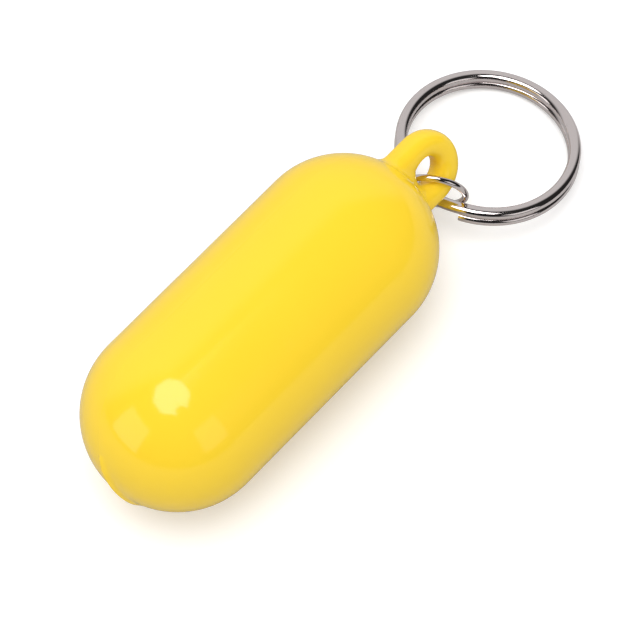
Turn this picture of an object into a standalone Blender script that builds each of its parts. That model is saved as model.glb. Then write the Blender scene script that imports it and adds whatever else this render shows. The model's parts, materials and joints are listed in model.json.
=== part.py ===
"""Floating keychain: a blow-moulded float with a moulded eye, a jump ring and a two-turn split ring.

Metres, +Z up. The float lies on its side along X, with its eye towards +X, and the key ring leans
from the eye down to the surface that everything rests on. The origin is the bottom centre of the
whole part's bounding box.
"""

import math

import bmesh
import bpy
from mathutils import Vector

# Float: a sealed capsule with round ends
BODY_DIAMETER = 0.0250
BODY_LENGTH = 0.0565
BODY_SIDES = 40
CAP_STEPS = 11

# Parting plane of the mould: it holds the float's axis and the eye
PARTING_ANGLE = math.radians(58.8)

# Eye: a rounded loop moulded on the float's end, lying in the parting plane
EYE_REACH = 0.0085
EYE_WIDTH = 0.0107
EYE_THICKNESS = 0.0037
EYE_HOLE_DIAMETER = 0.0039
EYE_ROOT_DEPTH = 0.0021
EYE_FULLNESS = 2.3
EYE_AROUND = 44
EYE_SECTION_POINTS = 18

# Pinch-off: the short welded ridge left by the mould on the closed end
PINCH_LENGTH = 0.0091
PINCH_WIDTH = 0.0008
PINCH_HEIGHT = 0.00035
PINCH_OFFSET_ANGLE = math.radians(11.0)
PINCH_DEPTH = 0.0006
PINCH_STEPS = 12

# Jump ring: round wire, ends butted, hung through the eye
JUMP_WIRE = 0.0009
JUMP_OUTER_DIAMETER = 0.0093
JUMP_TURN = math.radians(32.0)
JUMP_LEAN = math.radians(4.0)
JUMP_SLIT = 0.00012
JUMP_SLIT_ANGLE = math.radians(205.0)
JUMP_STEPS = 60
JUMP_SIDES = 10

# Split ring: flattened wire wound in two turns, with a crossover between the turns
RING_OUTER_DIAMETER = 0.0250
RING_WIRE_WIDTH = 0.00165
RING_WIRE_HEIGHT = 0.00136
RING_CORNER = 0.00066
RING_TURN_GAP = 0.00006
RING_CROSSOVER = math.radians(52.0)
RING_END_GAP = 0.00025
RING_HEADING = math.radians(1.5)
RING_LEAN_DIRECTION = math.radians(22.0)
RING_STEP = math.radians(5.0)
CORNER_POINTS = 4

# Play in the chain of rings. The turned jump ring nearly touches the corners of the eye's wall, so its
# inside stands a little above the wall's crown. The thick wire crosses the jump ring at a slant, so it
# rides above the jump ring's lowest point, with room to roll over.
JUMP_PLAY_ABOVE = 0.00055
JUMP_PLAY_ALONG = 0.00015
JUMP_PLAY_ACROSS = 0.00015
RING_RIDE_HEIGHT = 0.00085
RING_PLAY_ALONG = -0.00015

BODY_RADIUS = BODY_DIAMETER / 2
CAP_CENTRE = BODY_LENGTH / 2 - BODY_RADIUS
AXIS_X = Vector((1.0, 0.0, 0.0))
PARTING_UP = Vector((0.0, math.cos(PARTING_ANGLE), math.sin(PARTING_ANGLE)))
PARTING_NORMAL = Vector((0.0, -math.sin(PARTING_ANGLE), math.cos(PARTING_ANGLE)))
AXIS_HEIGHT = Vector((0.0, 0.0, BODY_RADIUS))

# Hole and tip share one centre, so the eye's wall is even all round the tip
EYE_CENTRE = AXIS_HEIGHT + AXIS_X * (BODY_LENGTH / 2 + EYE_REACH - EYE_WIDTH / 2)
EYE_HOLE_RADIUS = EYE_HOLE_DIAMETER / 2
EYE_WALL = EYE_WIDTH / 2 - EYE_HOLE_RADIUS

# Jump ring's own directions: through it, along its width and up its height
JUMP_FACING = Vector((math.cos(JUMP_TURN), math.sin(JUMP_TURN), 0.0))
JUMP_ACROSS = Vector((math.sin(JUMP_TURN), -math.cos(JUMP_TURN), 0.0))
JUMP_UPWARD = Vector((0.0, 0.0, math.cos(JUMP_LEAN))) - JUMP_FACING * math.sin(JUMP_LEAN)
JUMP_RADIUS = (JUMP_OUTER_DIAMETER - JUMP_WIRE) / 2
JUMP_INNER_RADIUS = JUMP_RADIUS - JUMP_WIRE / 2
RING_RADIUS = (RING_OUTER_DIAMETER - RING_WIRE_WIDTH) / 2
RING_PITCH = RING_WIRE_HEIGHT + RING_TURN_GAP


def clear_scene():
    """Remove every object that the file starts with."""
    for item in list(bpy.data.objects):
        bpy.data.objects.remove(item, do_unlink=True)


def material(name, colour, roughness, metallic):
    """Return a Principled material with the given colour, roughness and metallic value."""
    made = bpy.data.materials.new(name)
    made.use_nodes = True
    shader = made.node_tree.nodes["Principled BSDF"]
    shader.inputs["Base Color"].default_value = (*colour, 1.0)
    shader.inputs["Roughness"].default_value = roughness
    shader.inputs["Metallic"].default_value = metallic
    return made


def signed_power(value, exponent):
    """Raise a value's size to a power and keep its sign."""
    return math.copysign(abs(value) ** exponent, value)


def skin(rings, closed, poles=None):
    """Join rings of points into a closed surface.

    A closed skin runs back to its first ring. An open one ends in two caps, or in the two poles.
    """
    mesh = bmesh.new()
    loops = [[mesh.verts.new(point) for point in ring] for ring in rings]
    count = len(loops[0])
    pairs = list(zip(loops, loops[1:]))
    if closed:
        pairs.append((loops[-1], loops[0]))
    for first, second in pairs:
        for index in range(count):
            following = (index + 1) % count
            mesh.faces.new((first[index], first[following], second[following], second[index]))
    if poles:
        for loop, pole in ((loops[0], poles[0]), (loops[-1], poles[1])):
            tip = mesh.verts.new(pole)
            for index in range(count):
                mesh.faces.new((tip, loop[index], loop[(index + 1) % count]))
    elif not closed:
        mesh.faces.new(loops[0])
        mesh.faces.new(loops[-1])
    bmesh.ops.recalc_face_normals(mesh, faces=mesh.faces)
    return mesh


def add_object(name, mesh, pivot, finish, parent):
    """Make an object from a mesh in part coordinates, with its origin at the pivot."""
    bmesh.ops.translate(mesh, verts=mesh.verts, vec=-pivot)
    data = bpy.data.meshes.new(name)
    mesh.to_mesh(data)
    mesh.free()
    data.materials.append(finish)
    data.shade_smooth()
    data.set_sharp_from_angle(angle=math.radians(40.0))
    made = bpy.data.objects.new(name, data)
    made.location = pivot
    made.parent = parent
    bpy.context.collection.objects.link(made)
    return made


def join_to(target, guide):
    """Unite a guide solid with its target by a live Boolean, and hide the guide."""
    union = target.modifiers.new("join_" + guide.name, "BOOLEAN")
    union.operation = "UNION"
    union.solver = "EXACT"
    union.object = guide
    guide.hide_render = True
    guide.display_type = "WIRE"


def capsule_mesh():
    """Turn the float's outline about its axis. One flat side faces down, so that it lies still."""
    outline = []
    for step in range(CAP_STEPS):
        angle = math.pi / 2 * (step + 1) / CAP_STEPS
        outline.append((CAP_CENTRE + BODY_RADIUS * math.cos(angle), BODY_RADIUS * math.sin(angle)))
    outline = [(-along, radius) for along, radius in outline] + outline[::-1]
    corner = 1 / math.cos(math.pi / BODY_SIDES)
    rings = []
    for along, radius in outline:
        ring = []
        for side in range(BODY_SIDES):
            turn = 2 * math.pi * (side + 0.5) / BODY_SIDES
            out = Vector((0.0, math.sin(turn), math.cos(turn)))
            ring.append(AXIS_HEIGHT + AXIS_X * along + out * (radius * corner))
        rings.append(ring)
    half = AXIS_X * (BODY_LENGTH / 2)
    return skin(rings, False, (AXIS_HEIGHT - half, AXIS_HEIGHT + half))


def eye_outline(angle):
    """Distance from the hole's centre to the eye's edge: round tip, straight sides, buried root."""
    tip = EYE_WIDTH / 2
    across = abs(math.sin(angle))
    along = math.cos(angle)
    if along >= 0:
        return tip
    root = EYE_CENTRE.x - BODY_LENGTH / 2 + EYE_ROOT_DEPTH
    return min(tip / max(across, 1e-9), root / -along)


def eye_mesh():
    """Sweep the eye's rounded section round its hole, out to the edge in every direction."""
    rings = []
    for step in range(EYE_AROUND):
        angle = 2 * math.pi * (step + 0.5) / EYE_AROUND
        outward = AXIS_X * math.cos(angle) + PARTING_UP * math.sin(angle)
        half = (eye_outline(angle) - EYE_HOLE_RADIUS) / 2
        ring = []
        for point in range(EYE_SECTION_POINTS):
            turn = 2 * math.pi * point / EYE_SECTION_POINTS
            reach = half * signed_power(math.cos(turn), 2 / EYE_FULLNESS)
            rise = EYE_THICKNESS / 2 * signed_power(math.sin(turn), 2 / EYE_FULLNESS)
            ring.append(EYE_CENTRE + outward * (EYE_HOLE_RADIUS + half + reach) + PARTING_NORMAL * rise)
        rings.append(ring)
    return skin(rings, True)


def pinch_mesh():
    """Build the pinch-off ridge: a thin lens that follows the closed end in the parting plane."""
    centre = AXIS_HEIGHT - AXIS_X * CAP_CENTRE
    half_angle = PINCH_LENGTH / 2 / BODY_RADIUS
    rings = []
    for step in range(PINCH_STEPS + 1):
        place = 2 * step / PINCH_STEPS - 1
        angle = PINCH_OFFSET_ANGLE + place * half_angle
        outward = -AXIS_X * math.cos(angle) - PARTING_UP * math.sin(angle)
        swell = 0.35 + 0.65 * math.sqrt(max(0.0, 1 - place * place))
        base = BODY_RADIUS - PINCH_DEPTH
        crest = BODY_RADIUS + PINCH_HEIGHT * swell
        half = PINCH_WIDTH / 2 * swell
        corners = ((base, -half), (base, half), (crest - half / 2, half), (crest, half / 3),
                   (crest, -half / 3), (crest - half / 2, -half))
        rings.append([centre + outward * radius + PARTING_NORMAL * offset for radius, offset in corners])
    return skin(rings, False)


def jump_centre():
    """Hang the jump ring on the lower wall of the eye, with the running gap above that wall."""
    reach = EYE_WALL / 2
    rise = EYE_THICKNESS / 2
    height = math.hypot(reach * PARTING_UP.z, rise * PARTING_NORMAL.z)
    across = (reach ** 2 * PARTING_UP.z * PARTING_UP.y + rise ** 2 * PARTING_NORMAL.z * PARTING_NORMAL.y) / height
    wall = EYE_CENTRE - PARTING_UP * (EYE_HOLE_RADIUS + reach)
    play = Vector((JUMP_PLAY_ALONG, JUMP_PLAY_ACROSS, JUMP_PLAY_ABOVE))
    return wall + Vector((0.0, across, height)) + play - JUMP_UPWARD * JUMP_INNER_RADIUS


def jump_mesh(centre):
    """Bend round wire into an upright ring, with a hairline slit between its butted ends."""
    through = JUMP_ACROSS.cross(JUMP_UPWARD)
    slit = JUMP_SLIT / JUMP_RADIUS
    rings = []
    for step in range(JUMP_STEPS + 1):
        angle = JUMP_SLIT_ANGLE + slit / 2 + (2 * math.pi - slit) * step / JUMP_STEPS
        outward = JUMP_ACROSS * math.cos(angle) + JUMP_UPWARD * math.sin(angle)
        ring = []
        for side in range(JUMP_SIDES):
            turn = 2 * math.pi * side / JUMP_SIDES
            offset = outward * math.cos(turn) + through * math.sin(turn)
            ring.append(centre + outward * JUMP_RADIUS + offset * (JUMP_WIRE / 2))
        rings.append(ring)
    return skin(rings, False)


def link_point(jump):
    """Centre of the split ring's wire where it passes through the jump ring."""
    drop = JUMP_INNER_RADIUS - RING_RIDE_HEIGHT - RING_WIRE_WIDTH / 2
    return jump - JUMP_UPWARD * drop + AXIS_X * RING_PLAY_ALONG


def ring_axes(tilt):
    """Return the split ring's axis and the direction in its plane from the link to its centre."""
    axis = Vector((math.sin(tilt) * math.cos(RING_LEAN_DIRECTION),
                   math.sin(tilt) * math.sin(RING_LEAN_DIRECTION), math.cos(tilt)))
    heading = Vector((math.cos(RING_HEADING), math.sin(RING_HEADING), 0.0))
    inward = heading.copy()
    inward.z = -(axis.x * heading.x + axis.y * heading.y) / axis.z
    return axis, inward.normalized()


def ring_clearance(link, tilt):
    """Height of the split ring's lowest point above the floor for a given tilt."""
    axis, inward = ring_axes(tilt)
    centre = link + inward * RING_RADIUS
    reach = RING_RADIUS + RING_WIRE_WIDTH / 2 - RING_CORNER
    rise = RING_PITCH / 2 + RING_WIRE_HEIGHT / 2 - RING_CORNER
    return centre.z - reach * math.sin(tilt) - rise * math.cos(tilt) - RING_CORNER


def ring_tilt(link):
    """Find the tilt at which the split ring's far side just touches the floor."""
    low = 0.0
    high = math.radians(60.0)
    for _ in range(50):
        middle = (low + high) / 2
        if ring_clearance(link, middle) > 0:
            low = middle
        else:
            high = middle
    return (low + high) / 2


def wire_section():
    """Outline of the flattened wire, with rounded corners, as (radial, axial) pairs."""
    points = []
    width = RING_WIRE_WIDTH / 2 - RING_CORNER
    height = RING_WIRE_HEIGHT / 2 - RING_CORNER
    for quarter, (sign_width, sign_height) in enumerate(((1, 1), (-1, 1), (-1, -1), (1, -1))):
        for step in range(CORNER_POINTS):
            angle = math.pi / 2 * (quarter + step / (CORNER_POINTS - 1))
            points.append((sign_width * width + RING_CORNER * math.cos(angle),
                           sign_height * height + RING_CORNER * math.sin(angle)))
    return points


def smooth_step(value):
    """Ease from 0 to 1."""
    clamped = min(1.0, max(0.0, value))
    return clamped * clamped * (3 - 2 * clamped)


def split_ring_mesh(centre, axis, inward):
    """Wind two turns: lower layer, crossover at the link, upper layer, with a gap at each wire end."""
    sideways = inward.cross(axis)
    end_gap = RING_END_GAP / RING_RADIUS
    half = RING_CROSSOVER / 2
    start = -2 * math.pi + half + end_gap
    finish = 2 * math.pi - half - end_gap
    steps = math.ceil((finish - start) / RING_STEP)
    section = wire_section()
    rings = []
    for step in range(steps + 1):
        angle = start + (finish - start) * step / steps
        rise = RING_PITCH * (smooth_step((angle + half) / RING_CROSSOVER) - 0.5)
        outward = -inward * math.cos(angle) + sideways * math.sin(angle)
        rings.append([centre + outward * (RING_RADIUS + radial) + axis * (rise + axial)
                      for radial, axial in section])
    return skin(rings, False)


def centre_on_floor(parent):
    """Move the parent so that the bottom centre of the whole part's box is the origin."""
    bpy.context.view_layer.update()
    graph = bpy.context.evaluated_depsgraph_get()
    corners = []
    for item in parent.children:
        if item.hide_render:
            continue
        evaluated = item.evaluated_get(graph)
        data = evaluated.to_mesh()
        corners.extend(item.matrix_world @ vertex.co for vertex in data.vertices)
        evaluated.to_mesh_clear()
    low = Vector([min(corner[axis] for corner in corners) for axis in range(3)])
    high = Vector([max(corner[axis] for corner in corners) for axis in range(3)])
    parent.location = (-(low.x + high.x) / 2, -(low.y + high.y) / 2, -low.z)
    bpy.context.view_layer.update()


def main():
    """Build the three pieces, each on its own pivot: a ring's pivot is where it hangs from the last."""
    clear_scene()
    yellow = material("yellow_plastic", (0.93, 0.70, 0.03), 0.28, 0.0)
    nickel = material("nickel_wire", (0.72, 0.70, 0.68), 0.12, 1.0)
    keychain = bpy.data.objects.new("keychain", None)
    bpy.context.collection.objects.link(keychain)

    float_body = add_object("float_body", capsule_mesh(), AXIS_HEIGHT, yellow, keychain)
    join_to(float_body, add_object("eye_guide", eye_mesh(), EYE_CENTRE, yellow, keychain))
    join_to(float_body, add_object("pinch_guide", pinch_mesh(), AXIS_HEIGHT, yellow, keychain))

    jump = jump_centre()
    crown = jump + JUMP_UPWARD * JUMP_RADIUS
    add_object("jump_ring", jump_mesh(jump), crown, nickel, keychain)

    link = link_point(jump)
    axis, inward = ring_axes(ring_tilt(link))
    centre = link + inward * RING_RADIUS
    add_object("split_ring", split_ring_mesh(centre, axis, inward), link, nickel, keychain)

    centre_on_floor(keychain)


main()
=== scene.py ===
"""Looks of a floating keychain: a glossy yellow float, a jump ring and a two-turn split ring.

Metres, +Z up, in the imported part's own frame. Every piece stands for one CAD node, rides on that
node's body and takes its place from the record's joints, its mount and the nodes' boxes.
"""

from __future__ import annotations

import json
import logging
import math
from dataclasses import dataclass
from enum import Enum

import bmesh
import bpy
import numpy as np
from mathutils import Matrix, Vector


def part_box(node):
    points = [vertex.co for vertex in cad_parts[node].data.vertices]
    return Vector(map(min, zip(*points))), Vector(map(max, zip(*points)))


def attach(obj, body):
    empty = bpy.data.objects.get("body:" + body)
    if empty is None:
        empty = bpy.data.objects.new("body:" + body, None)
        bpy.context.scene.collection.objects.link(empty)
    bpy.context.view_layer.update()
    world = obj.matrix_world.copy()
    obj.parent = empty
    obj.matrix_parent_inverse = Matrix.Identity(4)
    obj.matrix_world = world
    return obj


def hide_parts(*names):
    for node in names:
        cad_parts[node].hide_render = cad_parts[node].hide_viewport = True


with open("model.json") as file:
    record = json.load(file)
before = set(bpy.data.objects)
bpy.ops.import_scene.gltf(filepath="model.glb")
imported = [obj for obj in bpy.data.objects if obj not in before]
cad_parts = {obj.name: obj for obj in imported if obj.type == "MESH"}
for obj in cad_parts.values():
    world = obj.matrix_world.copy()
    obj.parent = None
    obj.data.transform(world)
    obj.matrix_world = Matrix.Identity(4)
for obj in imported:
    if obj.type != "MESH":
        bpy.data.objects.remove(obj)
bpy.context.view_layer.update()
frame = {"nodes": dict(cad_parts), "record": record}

MM = 0.001

log = logging.getLogger("keychain")


class WireForm(Enum):
    """Cross-section of a wire: the power of the rounded outline, which is 2 for a true ellipse."""

    ROUND = 2.0
    FLAT = 2.3


class LampForm(Enum):
    """Outline of a softbox."""

    OCTAGON = "octagon"
    SQUARE = "square"


# ---------------------------------------------------------------- node building


class NodeBench:
    """Adds nodes to a tree and links them."""

    def __init__(self, tree: bpy.types.NodeTree) -> None:
        """Keep the tree.

        Args:
            tree: The node tree to build in.
        """
        self.tree = tree
        self.column = 0

    def add(self, kind: str, values: dict | None = None, **settings: object) -> bpy.types.Node:
        """Add a node, set its properties and fill its sockets.

        Args:
            kind: Blender's name for the node type.
            values: Socket name or index to a value, or to an output socket that feeds it.
            settings: Properties of the node.

        Returns:
            The new node.
        """
        node = self.tree.nodes.new(kind)
        node.location = (180 * (self.column % 12), -260 * (self.column // 12))
        self.column += 1
        for name, value in settings.items():
            setattr(node, name, value)
        for name, value in (values or {}).items():
            self.feed(node, name, value)
        return node

    def feed(self, node: bpy.types.Node, name: str | int, value: object) -> None:
        """Give a socket a value, or link an output socket to it.

        Args:
            node: The node whose input it is.
            name: The input's name or index.
            value: A plain value or an output socket.
        """
        socket = node.inputs[name]
        if isinstance(value, bpy.types.NodeSocket):
            self.tree.links.new(value, socket)
        else:
            socket.default_value = value

    def math(self, operation: str, first: object, second: object = 0.0,
             third: object = 0.0) -> bpy.types.NodeSocket:
        """Add a Math node and return its output.

        Args:
            operation: Blender's name for the operation.
            first: First value or socket.
            second: Second value or socket.
            third: Third value or socket.

        Returns:
            The node's output socket.
        """
        node = self.add("ShaderNodeMath", {0: first, 1: second, 2: third}, operation=operation)
        return node.outputs[0]


def new_socket(tree: bpy.types.NodeTree, name: str, kind: str, default: object = None,
               output: bool = False) -> bpy.types.NodeTreeInterfaceSocket:
    """Add an input or output to a group.

    Args:
        tree: The group.
        name: The socket's name.
        kind: Short kind, such as Float, Color or Vector.
        default: The value that an unlinked input has.
        output: True for an output.

    Returns:
        The new socket of the group's interface.
    """
    way = "OUTPUT" if output else "INPUT"
    made = tree.interface.new_socket(name=name, in_out=way, socket_type="NodeSocket" + kind)
    if default is not None:
        made.default_value = default
    return made


# ---------------------------------------------------------------- shared effects


def wear_group() -> bpy.types.NodeTree:
    """Build the group that both finishes use for light handling marks.

    Returns:
        A group with the output Marks, from 0 to 1.
    """
    tree = bpy.data.node_groups.new("handling_marks", "ShaderNodeTree")
    new_socket(tree, "Vector", "Vector")
    new_socket(tree, "Scale", "Float", 100.0)
    new_socket(tree, "Cover", "Float", 0.4)
    new_socket(tree, "Softness", "Float", 0.1)
    new_socket(tree, "Marks", "Float", output=True)
    bench = NodeBench(tree)
    given = bench.add("NodeGroupInput")
    noise = bench.add("ShaderNodeTexNoise", {
        "Vector": given.outputs["Vector"], "Scale": given.outputs["Scale"],
        "Detail": 6.0, "Roughness": 0.62, "Distortion": 0.3})
    low = bench.math("SUBTRACT", 1.0, given.outputs["Cover"])
    high = bench.math("ADD", low, given.outputs["Softness"])
    mask = bench.add("ShaderNodeMapRange", {
        "Value": noise.outputs[0], "From Min": low, "From Max": high}, interpolation_type="SMOOTHSTEP")
    bench.add("NodeGroupOutput", {"Marks": mask.outputs["Result"]})
    return tree


@dataclass(frozen=True)
class GlossPlastic:
    """Glossy yellow blow-moulded plastic."""

    name: str = "yellow_plastic"
    light: tuple[float, float, float] = (0.935, 0.640, 0.034)
    deep: tuple[float, float, float] = (0.920, 0.622, 0.028)
    roughness: float = 0.12
    scuffed_roughness: float = 0.17
    orange_peel_scale: float = 420.0
    orange_peel_depth: float = 0.000004

    def build(self, wear: bpy.types.NodeTree) -> bpy.types.Material:
        """Build the material.

        Args:
            wear: The shared group of handling marks.

        Returns:
            The material.
        """
        made = bpy.data.materials.new(self.name)
        made.use_nodes = True
        bench = NodeBench(made.node_tree)
        shader = made.node_tree.nodes["Principled BSDF"]
        place = bench.add("ShaderNodeTexCoord").outputs["Object"]

        clouds = bench.add("ShaderNodeTexNoise", {"Vector": place, "Scale": 90.0, "Detail": 3.0})
        tint = bench.add("ShaderNodeMix", {
            0: clouds.outputs[0], 6: (*self.light, 1.0), 7: (*self.deep, 1.0)}, data_type="RGBA")
        bench.feed(shader, "Base Color", tint.outputs[2])

        marks = bench.add("ShaderNodeGroup", node_tree=wear)
        bench.feed(marks, "Vector", place)
        bench.feed(marks, "Scale", 260.0)
        bench.feed(marks, "Cover", 0.42)
        bench.feed(marks, "Softness", 0.18)
        gloss = bench.add("ShaderNodeMapRange", {
            "Value": marks.outputs["Marks"], "To Min": self.roughness,
            "To Max": self.scuffed_roughness})
        bench.feed(shader, "Roughness", gloss.outputs["Result"])

        peel = bench.add("ShaderNodeTexNoise", {
            "Vector": place, "Scale": self.orange_peel_scale, "Detail": 2.0})
        bump = bench.add("ShaderNodeBump", {
            "Height": peel.outputs[0], "Strength": 0.35, "Distance": self.orange_peel_depth})
        bench.feed(shader, "Normal", bump.outputs[0])
        shader.inputs["IOR"].default_value = 1.48
        return made


@dataclass(frozen=True)
class NickelPlate:
    """Bright nickel plating on drawn steel wire."""

    name: str = "nickel_wire"
    bright: tuple[float, float, float] = (0.82, 0.745, 0.735)
    dull: tuple[float, float, float] = (0.64, 0.57, 0.56)
    roughness: float = 0.10
    scuffed_roughness: float = 0.22
    draw_line_depth: float = 0.000003

    def build(self, wear: bpy.types.NodeTree) -> bpy.types.Material:
        """Build the material.

        Args:
            wear: The shared group of handling marks.

        Returns:
            The material.
        """
        made = bpy.data.materials.new(self.name)
        made.use_nodes = True
        bench = NodeBench(made.node_tree)
        shader = made.node_tree.nodes["Principled BSDF"]
        shader.inputs["Metallic"].default_value = 1.0
        place = bench.add("ShaderNodeTexCoord").outputs["Object"]
        wire = bench.add("ShaderNodeAttribute", attribute_name="wire_place").outputs["Vector"]

        marks = bench.add("ShaderNodeGroup", node_tree=wear)
        bench.feed(marks, "Vector", place)
        bench.feed(marks, "Scale", 700.0)
        bench.feed(marks, "Cover", 0.40)
        bench.feed(marks, "Softness", 0.14)
        gloss = bench.add("ShaderNodeMapRange", {
            "Value": marks.outputs["Marks"], "To Min": self.roughness,
            "To Max": self.scuffed_roughness})
        bench.feed(shader, "Roughness", gloss.outputs["Result"])
        tint = bench.add("ShaderNodeMix", {
            0: marks.outputs["Marks"], 6: (*self.bright, 1.0), 7: (*self.dull, 1.0)}, data_type="RGBA")
        bench.feed(shader, "Base Color", tint.outputs[2])

        stretched = bench.add("ShaderNodeMapping", {"Vector": wire, "Scale": (60.0, 5200.0, 5200.0)})
        lines = bench.add("ShaderNodeTexNoise", {
            "Vector": stretched.outputs[0], "Scale": 1.0, "Detail": 2.0})
        bump = bench.add("ShaderNodeBump", {
            "Height": lines.outputs[0], "Strength": 0.25, "Distance": self.draw_line_depth})
        bench.feed(shader, "Normal", bump.outputs[0])
        return made


# ---------------------------------------------------------------- pieces


def finish_piece(name: str, mesh: bpy.types.Mesh, node: str, body: str) -> bpy.types.Object:
    """Put a finished mesh in the scene in place of a CAD node.

    Args:
        name: The piece's name.
        mesh: Its mesh, in the part's frame.
        node: The CAD node that it stands for.
        body: The CAD body that it moves with.

    Returns:
        The new object.
    """
    made = bpy.data.objects.new(name, mesh)
    bpy.context.collection.objects.link(made)
    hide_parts(node)
    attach(made, body)
    log.info("%s: %d faces", name, len(mesh.polygons))
    return made


@dataclass
class FloatShell:
    """The float: a capsule with an eye, a pinch-off ridge and a parting seam, all one moulding."""

    diameter: float = 25.0 * MM
    length: float = 56.5 * MM
    parting_angle: float = math.radians(58.8)
    eye_reach: float = 8.5 * MM
    eye_width: float = 10.7 * MM
    eye_thickness: float = 3.7 * MM
    eye_hole: float = 3.9 * MM
    eye_root_depth: float = 2.1 * MM
    eye_fullness: float = 2.4
    root_fillet: float = 1.1 * MM
    pinch_length: float = 11.4 * MM
    pinch_slopes: tuple[float, float] = (0.22 * MM, 0.55 * MM)
    pinch_height: float = 0.40 * MM
    pinch_offset: float = math.radians(6.0)
    seam_height: float = 0.012 * MM
    seam_width: float = 0.08 * MM
    ripple_depth: float = 0.010 * MM
    voxel: float = 0.30 * MM
    slope_step: float = 0.01 * MM
    settle_rounds: int = 8
    settle_reach: float = 0.3 * MM
    least_slope: float = 0.05
    seam_cuts: tuple[float, ...] = (0.0, 0.05, 0.10, 0.18, 0.28, 0.40, 0.55)

    def __post_init__(self) -> None:
        """Work out where the float lies, from its CAD node's box."""
        low, high = (Vector(corner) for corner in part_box("float_body"))
        self.radius = self.diameter / 2
        self.axis_point = np.array((high.x - self.eye_reach - self.length / 2, (low.y + high.y) / 2,
                                    (low.z + high.z) / 2))
        self.up = np.array((0.0, math.cos(self.parting_angle), math.sin(self.parting_angle)))
        self.normal = np.array((0.0, -math.sin(self.parting_angle), math.cos(self.parting_angle)))
        reach = self.length / 2 + self.eye_reach - self.eye_width / 2
        self.eye_centre = self.axis_point + np.array((reach, 0.0, 0.0))

    def capsule(self, points: np.ndarray) -> np.ndarray:
        """Give the signed distance from the plain capsule.

        Args:
            points: Points, one a row.

        Returns:
            One distance a point, below 0 inside.
        """
        local = points - self.axis_point
        straight = self.length / 2 - self.radius
        local[:, 0] -= np.clip(local[:, 0], -straight, straight)
        return np.linalg.norm(local, axis=1) - self.radius

    def eye(self, points: np.ndarray) -> np.ndarray:
        """Give a distance-like value from the eye: a rounded wall swept round its hole.

        Args:
            points: Points, one a row.

        Returns:
            One value a point, below 0 inside.
        """
        local = points - self.eye_centre
        along, across, lift = local[:, 0], local @ self.up, local @ self.normal
        distance = np.maximum(np.hypot(along, across), 1e-9)
        tip = self.eye_width / 2
        hole = self.eye_hole / 2
        root = self.eye_centre[0] - self.axis_point[0] - self.length / 2 + self.eye_root_depth
        side_limit = tip * distance / np.maximum(np.abs(across), 1e-9)
        root_limit = root * distance / np.maximum(-along, 1e-9)
        edge = np.where(along >= 0, tip, np.minimum(side_limit, root_limit))
        half = (edge - hole) / 2
        wall = np.abs(distance - hole - half) / half
        rise = np.abs(lift) / (self.eye_thickness / 2)
        power = self.eye_fullness
        return ((wall ** power + rise ** power) ** (1 / power) - 1) * self.eye_thickness / 2

    def pinch(self, points: np.ndarray) -> np.ndarray:
        """Give the height of the pinch-off ridge at each point.

        Args:
            points: Points, one a row.

        Returns:
            One height a point.
        """
        centre = self.axis_point - np.array((self.length / 2 - self.radius, 0.0, 0.0))
        local = points - centre
        angle = np.arctan2(-(local @ self.up), -local[:, 0]) - self.pinch_offset
        place = angle * self.radius / (self.pinch_length / 2)
        lift = local @ self.normal
        sharp, soft = self.pinch_slopes
        drop = np.where(lift < 0, np.abs(lift / sharp) ** 3, np.abs(lift / soft) ** 1.6)
        swell = np.clip(1 - place ** 6, 0.0, 1.0)
        return self.pinch_height * swell * np.exp(-drop) * (np.abs(angle) < 1.0)

    def seam(self, points: np.ndarray) -> np.ndarray:
        """Give the height of the parting seam at each point.

        Args:
            points: Points, one a row.

        Returns:
            One height a point.
        """
        lift = (points - self.axis_point) @ self.normal
        return self.seam_height * np.exp(-(lift / self.seam_width) ** 2)

    def ripple(self, points: np.ndarray) -> np.ndarray:
        """Give the slight waviness of the blown wall at each point.

        Args:
            points: Points, one a row.

        Returns:
            One height a point.
        """
        x, y, z = (points - self.axis_point).T / MM
        waves = (np.sin(0.42 * x + 0.31 * y + 0.7) + np.sin(0.27 * x - 0.55 * y + 0.36 * z + 2.1)
                 + np.sin(0.61 * x + 0.12 * z + 4.0) + np.sin(0.50 * z - 0.38 * y + 0.18 * x + 5.2))
        return self.ripple_depth * (waves / 4 - 1)

    def surface(self, points: np.ndarray) -> np.ndarray:
        """Give the moulding's own distance-like value: below 0 inside, 0 on the surface.

        Args:
            points: Points, one a row.

        Returns:
            One value a point.
        """
        body = self.capsule(points) - self.pinch(points) - self.ripple(points)
        eye = self.eye(points)
        blend = np.maximum(self.root_fillet - np.abs(body - eye), 0.0) / self.root_fillet
        return np.minimum(body, eye) - blend ** 2 * self.root_fillet / 4 - self.seam(points)

    def slope(self, points: np.ndarray) -> np.ndarray:
        """Give the surface function's gradient by central differences.

        Args:
            points: Points, one a row.

        Returns:
            One vector a point.
        """
        columns = []
        for axis in range(3):
            shift = np.zeros(3)
            shift[axis] = self.slope_step
            columns.append(self.surface(points + shift) - self.surface(points - shift))
        return np.stack(columns, axis=1) / (2 * self.slope_step)

    def settle(self, points: np.ndarray) -> np.ndarray:
        """Move points onto the surface along its gradient.

        Args:
            points: Points near the surface, one a row.

        Returns:
            The moved points.
        """
        reach = self.settle_reach
        for _ in range(self.settle_rounds):
            slope = self.slope(points)
            size = np.maximum((slope ** 2).sum(axis=1, keepdims=True), self.least_slope)
            points = points - np.clip(self.surface(points)[:, None] * slope / size, -reach, reach)
        return points

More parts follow.
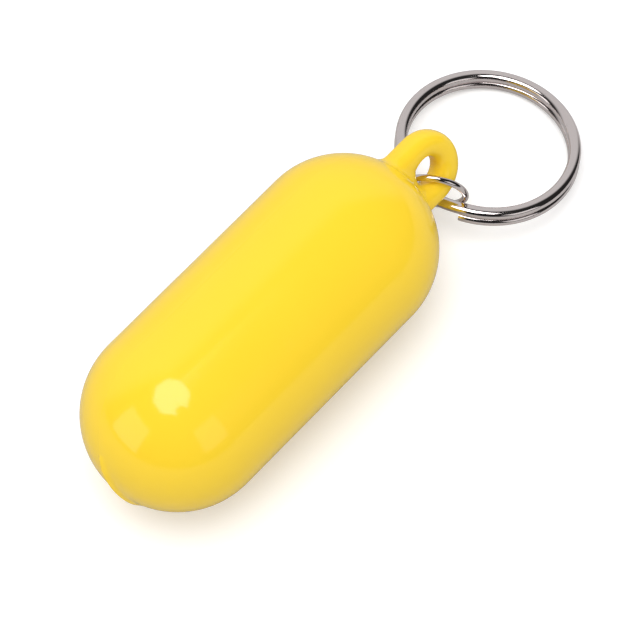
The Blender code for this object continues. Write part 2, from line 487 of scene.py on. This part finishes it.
    def blank(self) -> bpy.types.Mesh:
        """Make an even fine skin over the CAD solid, for the surface to be settled on.

        Returns:
            The mesh.
        """
        rough = frame["nodes"]["float_body"].data.copy()
        mesh = bmesh.new()
        mesh.from_mesh(rough)
        bmesh.ops.remove_doubles(mesh, verts=mesh.verts, dist=0.001 * MM)
        mesh.to_mesh(rough)
        mesh.free()
        holder = bpy.data.objects.new("float_blank", rough)
        bpy.context.collection.objects.link(holder)
        remesh = holder.modifiers.new("even_skin", "REMESH")
        remesh.mode = "VOXEL"
        remesh.voxel_size = self.voxel
        graph = bpy.context.evaluated_depsgraph_get()
        fine = bpy.data.meshes.new_from_object(holder.evaluated_get(graph))
        bpy.data.objects.remove(holder, do_unlink=True)
        return fine

    def build(self, finish: bpy.types.Material) -> bpy.types.Object:
        """Make the float and put it in the scene.

        Args:
            finish: The plastic.

        Returns:
            The finished object.
        """
        skin = self.blank()
        mesh = bmesh.new()
        mesh.from_mesh(skin)
        for offset in sorted({sign * cut for cut in self.seam_cuts for sign in (-1, 1)}):
            plane = Vector(self.axis_point) + Vector(self.normal) * offset * MM
            everything = list(mesh.verts) + list(mesh.edges) + list(mesh.faces)
            bmesh.ops.bisect_plane(mesh, geom=everything, plane_co=plane, plane_no=Vector(self.normal),
                                   dist=0.004 * MM)
        bmesh.ops.triangulate(mesh, faces=[face for face in mesh.faces if len(face.verts) > 4])
        mesh.to_mesh(skin)
        mesh.free()
        points = np.empty(len(skin.vertices) * 3)
        skin.vertices.foreach_get("co", points)
        points = self.settle(points.reshape(-1, 3))
        skin.vertices.foreach_set("co", points.ravel())
        skin.shade_smooth()
        normals = self.slope(points)
        normals /= np.linalg.norm(normals, axis=1, keepdims=True)
        skin.normals_split_custom_set_from_vertices(normals.tolist())
        skin.materials.clear()
        skin.materials.append(finish)
        return finish_piece("float_shell", skin, "float_body", "float")


def wound_wire_tree() -> bpy.types.NodeTree:
    """Build the Geometry Nodes tree that winds a wire into a ring.

    The ring is wound flat about its own Z, with its link at +X, and is then turned and moved into
    place. Its height steps by the pitch at the crossover, which is centred on the link.

    Returns:
        The tree, with named inputs for the wire's and the ring's sizes.
    """
    tree = bpy.data.node_groups.new("wound_wire", "GeometryNodeTree")
    new_socket(tree, "Geometry", "Geometry")
    for name, default in (("Radius", 0.01), ("Start Angle", -3.0), ("End Angle", 3.0),
                          ("Crossover", 1.0), ("Pitch", 0.001), ("Wire Width", 0.001),
                          ("Wire Height", 0.001), ("Fullness", 2.0), ("End Size", 0.8)):
        new_socket(tree, name, "Float", default)
    new_socket(tree, "Steps", "Int", 600)
    new_socket(tree, "Section Steps", "Int", 24)
    new_socket(tree, "Rotation", "Vector")
    new_socket(tree, "Place", "Vector")
    new_socket(tree, "Finish", "Material")
    new_socket(tree, "Geometry", "Geometry", output=True)
    bench = NodeBench(tree)
    given = bench.add("NodeGroupInput").outputs

    line = bench.add("GeometryNodeCurvePrimitiveLine", {"Start": (0, 0, 0), "End": (0, 0, 1)})
    path = bench.add("GeometryNodeResampleCurve", {"Curve": line.outputs[0], "Count": given["Steps"]})
    share = bench.add("GeometryNodeSplineParameter").outputs["Factor"]
    angle = bench.add("ShaderNodeMapRange", {
        "Value": share, "To Min": given["Start Angle"], "To Max": given["End Angle"]}).outputs["Result"]
    half_cross = bench.math("MULTIPLY", given["Crossover"], 0.5)
    half_pitch = bench.math("MULTIPLY", given["Pitch"], 0.5)
    layer = bench.add("ShaderNodeMapRange", {
        "Value": angle, "From Min": bench.math("MULTIPLY", half_cross, -1.0), "From Max": half_cross,
        "To Min": -1.0, "To Max": 1.0}, interpolation_type="SMOOTHSTEP").outputs["Result"]
    circle = bench.add("ShaderNodeCombineXYZ", {
        "X": bench.math("MULTIPLY", bench.math("COSINE", angle), given["Radius"]),
        "Y": bench.math("MULTIPLY", bench.math("SINE", angle), given["Radius"]),
        "Z": bench.math("MULTIPLY", layer, half_pitch)})
    wound = bench.add("GeometryNodeSetPosition", {
        "Geometry": path.outputs[0], "Position": circle.outputs[0]})
    upright = bench.add("GeometryNodeSetCurveNormal", {"Curve": wound.outputs[0]}, mode="Z_UP")
    ends = bench.add("GeometryNodeCurveEndpointSelection", {"Start Size": 1, "End Size": 1})
    eased = bench.add("GeometryNodeSetCurveRadius", {
        "Curve": upright.outputs[0], "Radius": 1.0})
    eased = bench.add("GeometryNodeSetCurveRadius", {
        "Curve": eased.outputs[0], "Selection": ends.outputs[0], "Radius": given["End Size"]})
    measured = bench.add("GeometryNodeSplineParameter").outputs["Length"]
    along = bench.add("GeometryNodeCaptureAttribute", {"Geometry": eased.outputs[0]}, domain="POINT")
    along.capture_items.new("FLOAT", "Along")
    bench.feed(along, "Along", measured)

    round_section = bench.add("GeometryNodeCurvePrimitiveCircle", {
        "Resolution": given["Section Steps"], "Radius": 1.0})
    unit = bench.add("ShaderNodeSeparateXYZ", {
        "Vector": bench.add("GeometryNodeInputPosition").outputs[0]})
    power = bench.math("DIVIDE", 2.0, given["Fullness"])
    sides = []
    for side, size in (("X", given["Wire Width"]), ("Y", given["Wire Height"])):
        reach = bench.math("POWER", bench.math("ABSOLUTE", unit.outputs[side]), power)
        reach = bench.math("MULTIPLY", reach, bench.math("SIGN", unit.outputs[side]))
        sides.append(bench.math("MULTIPLY", reach, bench.math("MULTIPLY", size, 0.5)))
    outline = bench.add("ShaderNodeCombineXYZ", {"X": sides[0], "Y": sides[1]})
    flattened = bench.add("GeometryNodeSetPosition", {
        "Geometry": round_section.outputs[0], "Position": outline.outputs[0]})
    section = bench.add("GeometryNodeCaptureAttribute", {
        "Geometry": flattened.outputs[0]}, domain="POINT")
    section.capture_items.new("VECTOR", "Section")
    bench.feed(section, "Section", bench.add("GeometryNodeInputPosition").outputs[0])

    swept = bench.add("GeometryNodeCurveToMesh", {
        "Curve": along.outputs[0], "Profile Curve": section.outputs[0], "Fill Caps": True})
    parts = bench.add("ShaderNodeSeparateXYZ", {"Vector": section.outputs["Section"]})
    place = bench.add("ShaderNodeCombineXYZ", {
        "X": along.outputs["Along"], "Y": parts.outputs["X"], "Z": parts.outputs["Y"]})
    stored = bench.add("GeometryNodeStoreNamedAttribute", {
        "Geometry": swept.outputs[0], "Name": "wire_place", "Value": place.outputs[0]},
        data_type="FLOAT_VECTOR", domain="POINT")
    moved = bench.add("GeometryNodeTransform", {
        "Geometry": stored.outputs[0], "Translation": given["Place"], "Rotation": given["Rotation"]})
    smooth = bench.add("GeometryNodeSetShadeSmooth", {"Geometry": moved.outputs[0]})
    real = bench.add("GeometryNodeRealizeInstances", {"Geometry": smooth.outputs[0]})
    dressed = bench.add("GeometryNodeSetMaterial", {
        "Geometry": real.outputs[0], "Material": given["Finish"]})
    bench.add("NodeGroupOutput", {"Geometry": dressed.outputs[0]})
    return tree


@dataclass
class WoundRing:
    """A ring of wire, wound by the shared tree."""

    name: str
    body: str
    form: WireForm
    wire_width: float
    wire_height: float
    radius: float
    start_angle: float
    end_angle: float
    crossover: float
    pitch: float
    steps: int
    section_steps: int
    end_size: float
    centre: Vector
    toward_link: Vector
    axis: Vector

    def turned(self) -> Matrix:
        """Return the rotation from the tree's own directions to the ring's."""
        across = self.axis.cross(self.toward_link)
        return Matrix((self.toward_link, across, self.axis)).transposed()

    def build(self, tree: bpy.types.NodeTree, finish: bpy.types.Material) -> bpy.types.Object:
        """Wind the ring and put it in the scene.

        Args:
            tree: The wound_wire tree.
            finish: The plating.

        Returns:
            The finished object.
        """
        holder = bpy.data.objects.new(self.name + "_winding", bpy.data.meshes.new(self.name))
        bpy.context.collection.objects.link(holder)
        winding = holder.modifiers.new("winding", "NODES")
        winding.node_group = tree
        values = {
            "Radius": self.radius, "Start Angle": self.start_angle, "End Angle": self.end_angle,
            "Crossover": self.crossover, "Pitch": self.pitch, "Wire Width": self.wire_width,
            "Wire Height": self.wire_height, "Fullness": self.form.value,
            "End Size": self.end_size, "Steps": self.steps, "Section Steps": self.section_steps,
            "Rotation": tuple(self.turned().to_euler()), "Place": tuple(self.centre), "Finish": finish}
        for item in tree.interface.items_tree:
            if item.in_out == "INPUT" and item.name in values:
                winding[item.identifier] = values[item.name]
        graph = bpy.context.evaluated_depsgraph_get()
        mesh = bpy.data.meshes.new_from_object(holder.evaluated_get(graph))
        bpy.data.objects.remove(holder, do_unlink=True)
        return finish_piece(self.name + "_wire", mesh, self.name, self.body)


def joint_place(name: str) -> Vector:
    """Return where a joint of the record is.

    Args:
        name: The joint's name.

    Returns:
        Its place in the part's frame.
    """
    found = next(joint for joint in frame["record"]["behaviour"]["joints"] if joint["name"] == name)
    return Vector(found["pos_m"])


def jump_ring() -> WoundRing:
    """Describe the jump ring: one turn of round wire, upright in the float's eye.

    Returns:
        The ring.
    """
    wire = 0.9 * MM
    radius = 4.2 * MM
    turn, lean = math.radians(32.0), math.radians(4.0)
    slit_angle, slit = math.radians(205.0), 0.12 * MM
    facing = Vector((math.cos(turn), math.sin(turn), 0.0))
    across = Vector((math.sin(turn), -math.cos(turn), 0.0))
    upward = (Vector((0.0, 0.0, math.cos(lean))) - facing * math.sin(lean)).normalized()
    start = slit_angle + slit / radius / 2
    return WoundRing(
        name="jump_ring", body="jump_ring", form=WireForm.ROUND, wire_width=wire, wire_height=wire,
        radius=radius, start_angle=start, end_angle=start + 2 * math.pi - slit / radius,
        crossover=0.1, pitch=0.0, steps=240, section_steps=28, end_size=0.94,
        centre=joint_place("jump_ring_turn") - upward * radius, toward_link=across,
        axis=across.cross(upward))


def split_ring() -> WoundRing:
    """Describe the split ring: two turns of flattened wire, lying from the eye to the surface.

    Returns:
        The ring.
    """
    mount = next(one for one in frame["record"]["mounts"] if one["name"] == "key_ring")
    centre = Vector(mount["pos_m"])
    toward_link = joint_place("split_ring_lift") - centre
    width, height, gap = 1.65 * MM, 1.36 * MM, 0.06 * MM
    crossover, end_gap, overlap = math.radians(52.0), 0.25 * MM, math.radians(7.0)
    radius = toward_link.length
    reach = 2 * math.pi - crossover / 2 - end_gap / radius
    return WoundRing(
        name="split_ring", body="split_ring", form=WireForm.FLAT, wire_width=width,
        wire_height=height, radius=radius, start_angle=-reach - overlap, end_angle=reach,
        crossover=crossover, pitch=height + gap, steps=1000, section_steps=40, end_size=0.86,
        centre=centre, toward_link=toward_link.normalized(), axis=Vector(mount["axis"]).normalized())


# ---------------------------------------------------------------- studio


@dataclass(frozen=True)
class Softbox:
    """One soft lamp that looks at the float."""

    name: str
    form: LampForm
    azimuth: float
    elevation: float
    distance: float
    width: float
    radiance: float
    bite: tuple[float, float, float] = (0.51, 0.0, 0.16)

    def mask_corners(self, lamp: bpy.types.Light) -> None:
        """Cut the square lamp's corners off, and leave the bite of the arm that holds it.

        Args:
            lamp: The lamp.
        """
        lamp.use_nodes = True
        lamp.node_tree.nodes.clear()
        bench = NodeBench(lamp.node_tree)
        across = bench.add("ShaderNodeSeparateXYZ", {
            "Vector": bench.add("ShaderNodeNewGeometry").outputs["Parametric"]})
        along = [bench.math("SUBTRACT", across.outputs[side], 0.5) for side in ("X", "Y")]
        corner = bench.math("ADD", bench.math("ABSOLUTE", along[0]), bench.math("ABSOLUTE", along[1]))
        inside = bench.math("LESS_THAN", corner, math.sqrt(0.5))
        bite_x = bench.math("SUBTRACT", along[0], self.bite[0])
        bite_y = bench.math("SUBTRACT", along[1], self.bite[1])
        reach = bench.math("MULTIPLY_ADD", bite_x, bite_x, bench.math("MULTIPLY", bite_y, bite_y))
        clear = bench.math("GREATER_THAN", reach, self.bite[2] ** 2)
        glow = bench.add("ShaderNodeEmission", {
            "Color": (1.0, 1.0, 1.0, 1.0), "Strength": bench.math("MULTIPLY", inside, clear)})
        bench.add("ShaderNodeOutputLight", {"Surface": glow.outputs[0]})

    def build(self, aim: Vector) -> bpy.types.Object:
        """Hang the lamp.

        Args:
            aim: The point that it faces.

        Returns:
            The lamp.
        """
        lamp = bpy.data.lights.new(self.name, "AREA")
        lamp.shape = "SQUARE"
        lamp.size = self.width
        lamp.energy = self.radiance * math.pi * self.width ** 2
        if self.form is LampForm.OCTAGON:
            self.mask_corners(lamp)
        made = bpy.data.objects.new(self.name, lamp)
        azimuth, elevation = math.radians(self.azimuth), math.radians(self.elevation)
        away = Vector((math.cos(elevation) * math.cos(azimuth), math.cos(elevation) * math.sin(azimuth),
                       math.sin(elevation)))
        made.location = aim + away * self.distance
        made.rotation_euler = away.to_track_quat("Z", "Y").to_euler()
        bpy.context.collection.objects.link(made)
        return made


@dataclass(frozen=True)
class Studio:
    """Floor, lamps, world and camera."""

    floor_width: float = 6.0
    floor_colour: tuple[float, float, float] = (0.86, 0.855, 0.86)
    bounced_floor_colour: tuple[float, float, float] = (0.66, 0.655, 0.66)
    mirrored_floor_colour: tuple[float, float, float] = (0.44, 0.44, 0.44)
    floor_lift: float = 0.24
    room_dark: float = 0.02
    wall_level: float = 0.62
    wall_azimuth: float = math.radians(60.0)
    wall_reach: tuple[float, float] = (0.30, 0.60)
    fill_level: float = 0.55
    fill_lean: float = 0.22
    fill_azimuth: float = math.radians(-60.0)
    camera_elevation: float = math.radians(65.075)
    camera_heading: float = math.radians(47.880)
    camera_distance: float = 0.51796
    camera_right: float = 7.554 * MM
    camera_up: float = 6.647 * MM
    focal_pixels: float = 3941.7
    picture_pixels: float = 640.0
    sensor_width: float = 36.0
    softboxes: tuple[Softbox, ...] = (
        Softbox("overhead_lamp", LampForm.OCTAGON, azimuth=167.0, elevation=83.0, distance=1.0,
                width=0.74, radiance=4.2),
        Softbox("left_lamp", LampForm.SQUARE, azimuth=162.0, elevation=22.0, distance=1.1,
                width=0.70, radiance=1.35),
        Softbox("right_lamp", LampForm.SQUARE, azimuth=-92.0, elevation=28.0, distance=1.1,
                width=0.62, radiance=0.8),
    )

    def floor(self) -> None:
        """Lay the pale floor: white to the camera, and still darkened by shadows."""
        mesh = bmesh.new()
        bmesh.ops.create_grid(mesh, x_segments=1, y_segments=1, size=self.floor_width / 2)
        data = bpy.data.meshes.new("floor")
        mesh.to_mesh(data)
        mesh.free()
        made = bpy.data.materials.new("pale_floor")
        made.use_nodes = True
        bench = NodeBench(made.node_tree)
        made.node_tree.nodes.clear()
        seen = bench.add("ShaderNodeLightPath")
        mirrored = bench.math("ADD", seen.outputs["Is Glossy Ray"], seen.outputs["Is Transmission Ray"])
        indirect = bench.add("ShaderNodeMix", {
            0: mirrored, 6: (*self.bounced_floor_colour, 1.0), 7: (*self.mirrored_floor_colour, 1.0)},
            data_type="RGBA")
        tone = bench.add("ShaderNodeMix", {
            0: seen.outputs["Is Camera Ray"], 6: indirect.outputs[2], 7: (*self.floor_colour, 1.0)},
            data_type="RGBA")
        paper = bench.add("ShaderNodeBsdfDiffuse", {"Color": tone.outputs[2]})
        level = bench.math("MULTIPLY", seen.outputs["Is Camera Ray"], self.floor_lift)
        lift = bench.add("ShaderNodeEmission", {"Color": (1.0, 1.0, 1.0, 1.0), "Strength": level})
        both = bench.add("ShaderNodeAddShader", {0: paper.outputs[0], 1: lift.outputs[0]})
        bench.add("ShaderNodeOutputMaterial", {"Surface": both.outputs[0]})
        data.materials.append(made)
        plane = bpy.data.objects.new("floor", data)
        bpy.context.collection.objects.link(plane)

    def world(self) -> None:
        """Fill the room: dim to everything but the camera, which sees white beyond the floor."""
        made = bpy.data.worlds.new("studio_room")
        made.use_nodes = True
        bench = NodeBench(made.node_tree)
        made.node_tree.nodes.clear()
        seen = bench.add("ShaderNodeLightPath")
        looking = bench.add("ShaderNodeTexCoord").outputs["Generated"]
        facing = []
        for azimuth in (self.wall_azimuth, self.fill_azimuth):
            toward = (math.cos(azimuth), math.sin(azimuth), 0.0)
            facing.append(bench.add("ShaderNodeVectorMath", {0: looking, 1: toward},
                                    operation="DOT_PRODUCT").outputs["Value"])
        wall = bench.add("ShaderNodeMapRange", {
            "Value": facing[0], "From Min": self.wall_reach[0], "From Max": self.wall_reach[1],
            "To Min": self.room_dark, "To Max": self.wall_level}, interpolation_type="SMOOTHSTEP")
        fill = bench.math("MULTIPLY_ADD", facing[1], self.fill_lean, self.fill_level)
        lit = bench.math("MULTIPLY_ADD", seen.outputs["Is Diffuse Ray"], fill, wall.outputs["Result"])
        level = bench.add("ShaderNodeMix", {
            0: seen.outputs["Is Camera Ray"], 2: lit, 3: 1.0}, data_type="FLOAT")
        room = bench.add("ShaderNodeBackground", {
            "Color": (1.0, 1.0, 1.0, 1.0), "Strength": level.outputs[0]})
        bench.add("ShaderNodeOutputWorld", {"Surface": room.outputs[0]})
        bpy.context.scene.world = made

    def camera(self, under: Vector) -> None:
        """Set the camera at the photograph's viewing angle.

        Args:
            under: The point of the floor below the middle of the float's length.
        """
        heading, elevation = self.camera_heading, self.camera_elevation
        right = Vector((math.cos(heading), -math.sin(heading), 0.0))
        back = Vector((math.sin(heading), math.cos(heading), 0.0))
        vertical = Vector((0.0, 0.0, 1.0))
        toward = vertical * math.sin(elevation) - back * math.cos(elevation)
        upward = back * math.sin(elevation) + vertical * math.cos(elevation)
        lens = bpy.data.cameras.new("camera")
        lens.sensor_width = self.sensor_width
        lens.lens = self.focal_pixels / self.picture_pixels * self.sensor_width
        lens.clip_end = 20.0
        made = bpy.data.objects.new("camera", lens)
        place = Matrix((right, upward, toward)).transposed().to_4x4()
        place.translation = (under + right * self.camera_right + upward * self.camera_up
                             + toward * self.camera_distance)
        made.matrix_world = place
        bpy.context.collection.objects.link(made)
        bpy.context.scene.camera = made

    def build(self, under: Vector, middle: Vector) -> None:
        """Set the studio up round the part.

        Args:
            under: The point of the floor below the middle of the float's length.
            middle: The point that the lamps face.
        """
        bpy.context.scene.view_settings.view_transform = "Standard"
        self.floor()
        self.world()
        self.camera(under)
        for softbox in self.softboxes:
            softbox.build(middle)


def main() -> None:
    """Build every piece, then the studio."""
    logging.basicConfig(level=logging.INFO, format="%(name)s: %(message)s")
    wear = wear_group()
    plastic = GlossPlastic().build(wear)
    nickel = NickelPlate().build(wear)
    shell = FloatShell()
    shell.build(plastic)
    winding = wound_wire_tree()
    for ring in (jump_ring(), split_ring()):
        ring.build(winding, nickel)
    middle = Vector(shell.axis_point)
    Studio().build(Vector((middle.x, middle.y, 0.0)), middle)


if __name__ == "__main__":
    main()
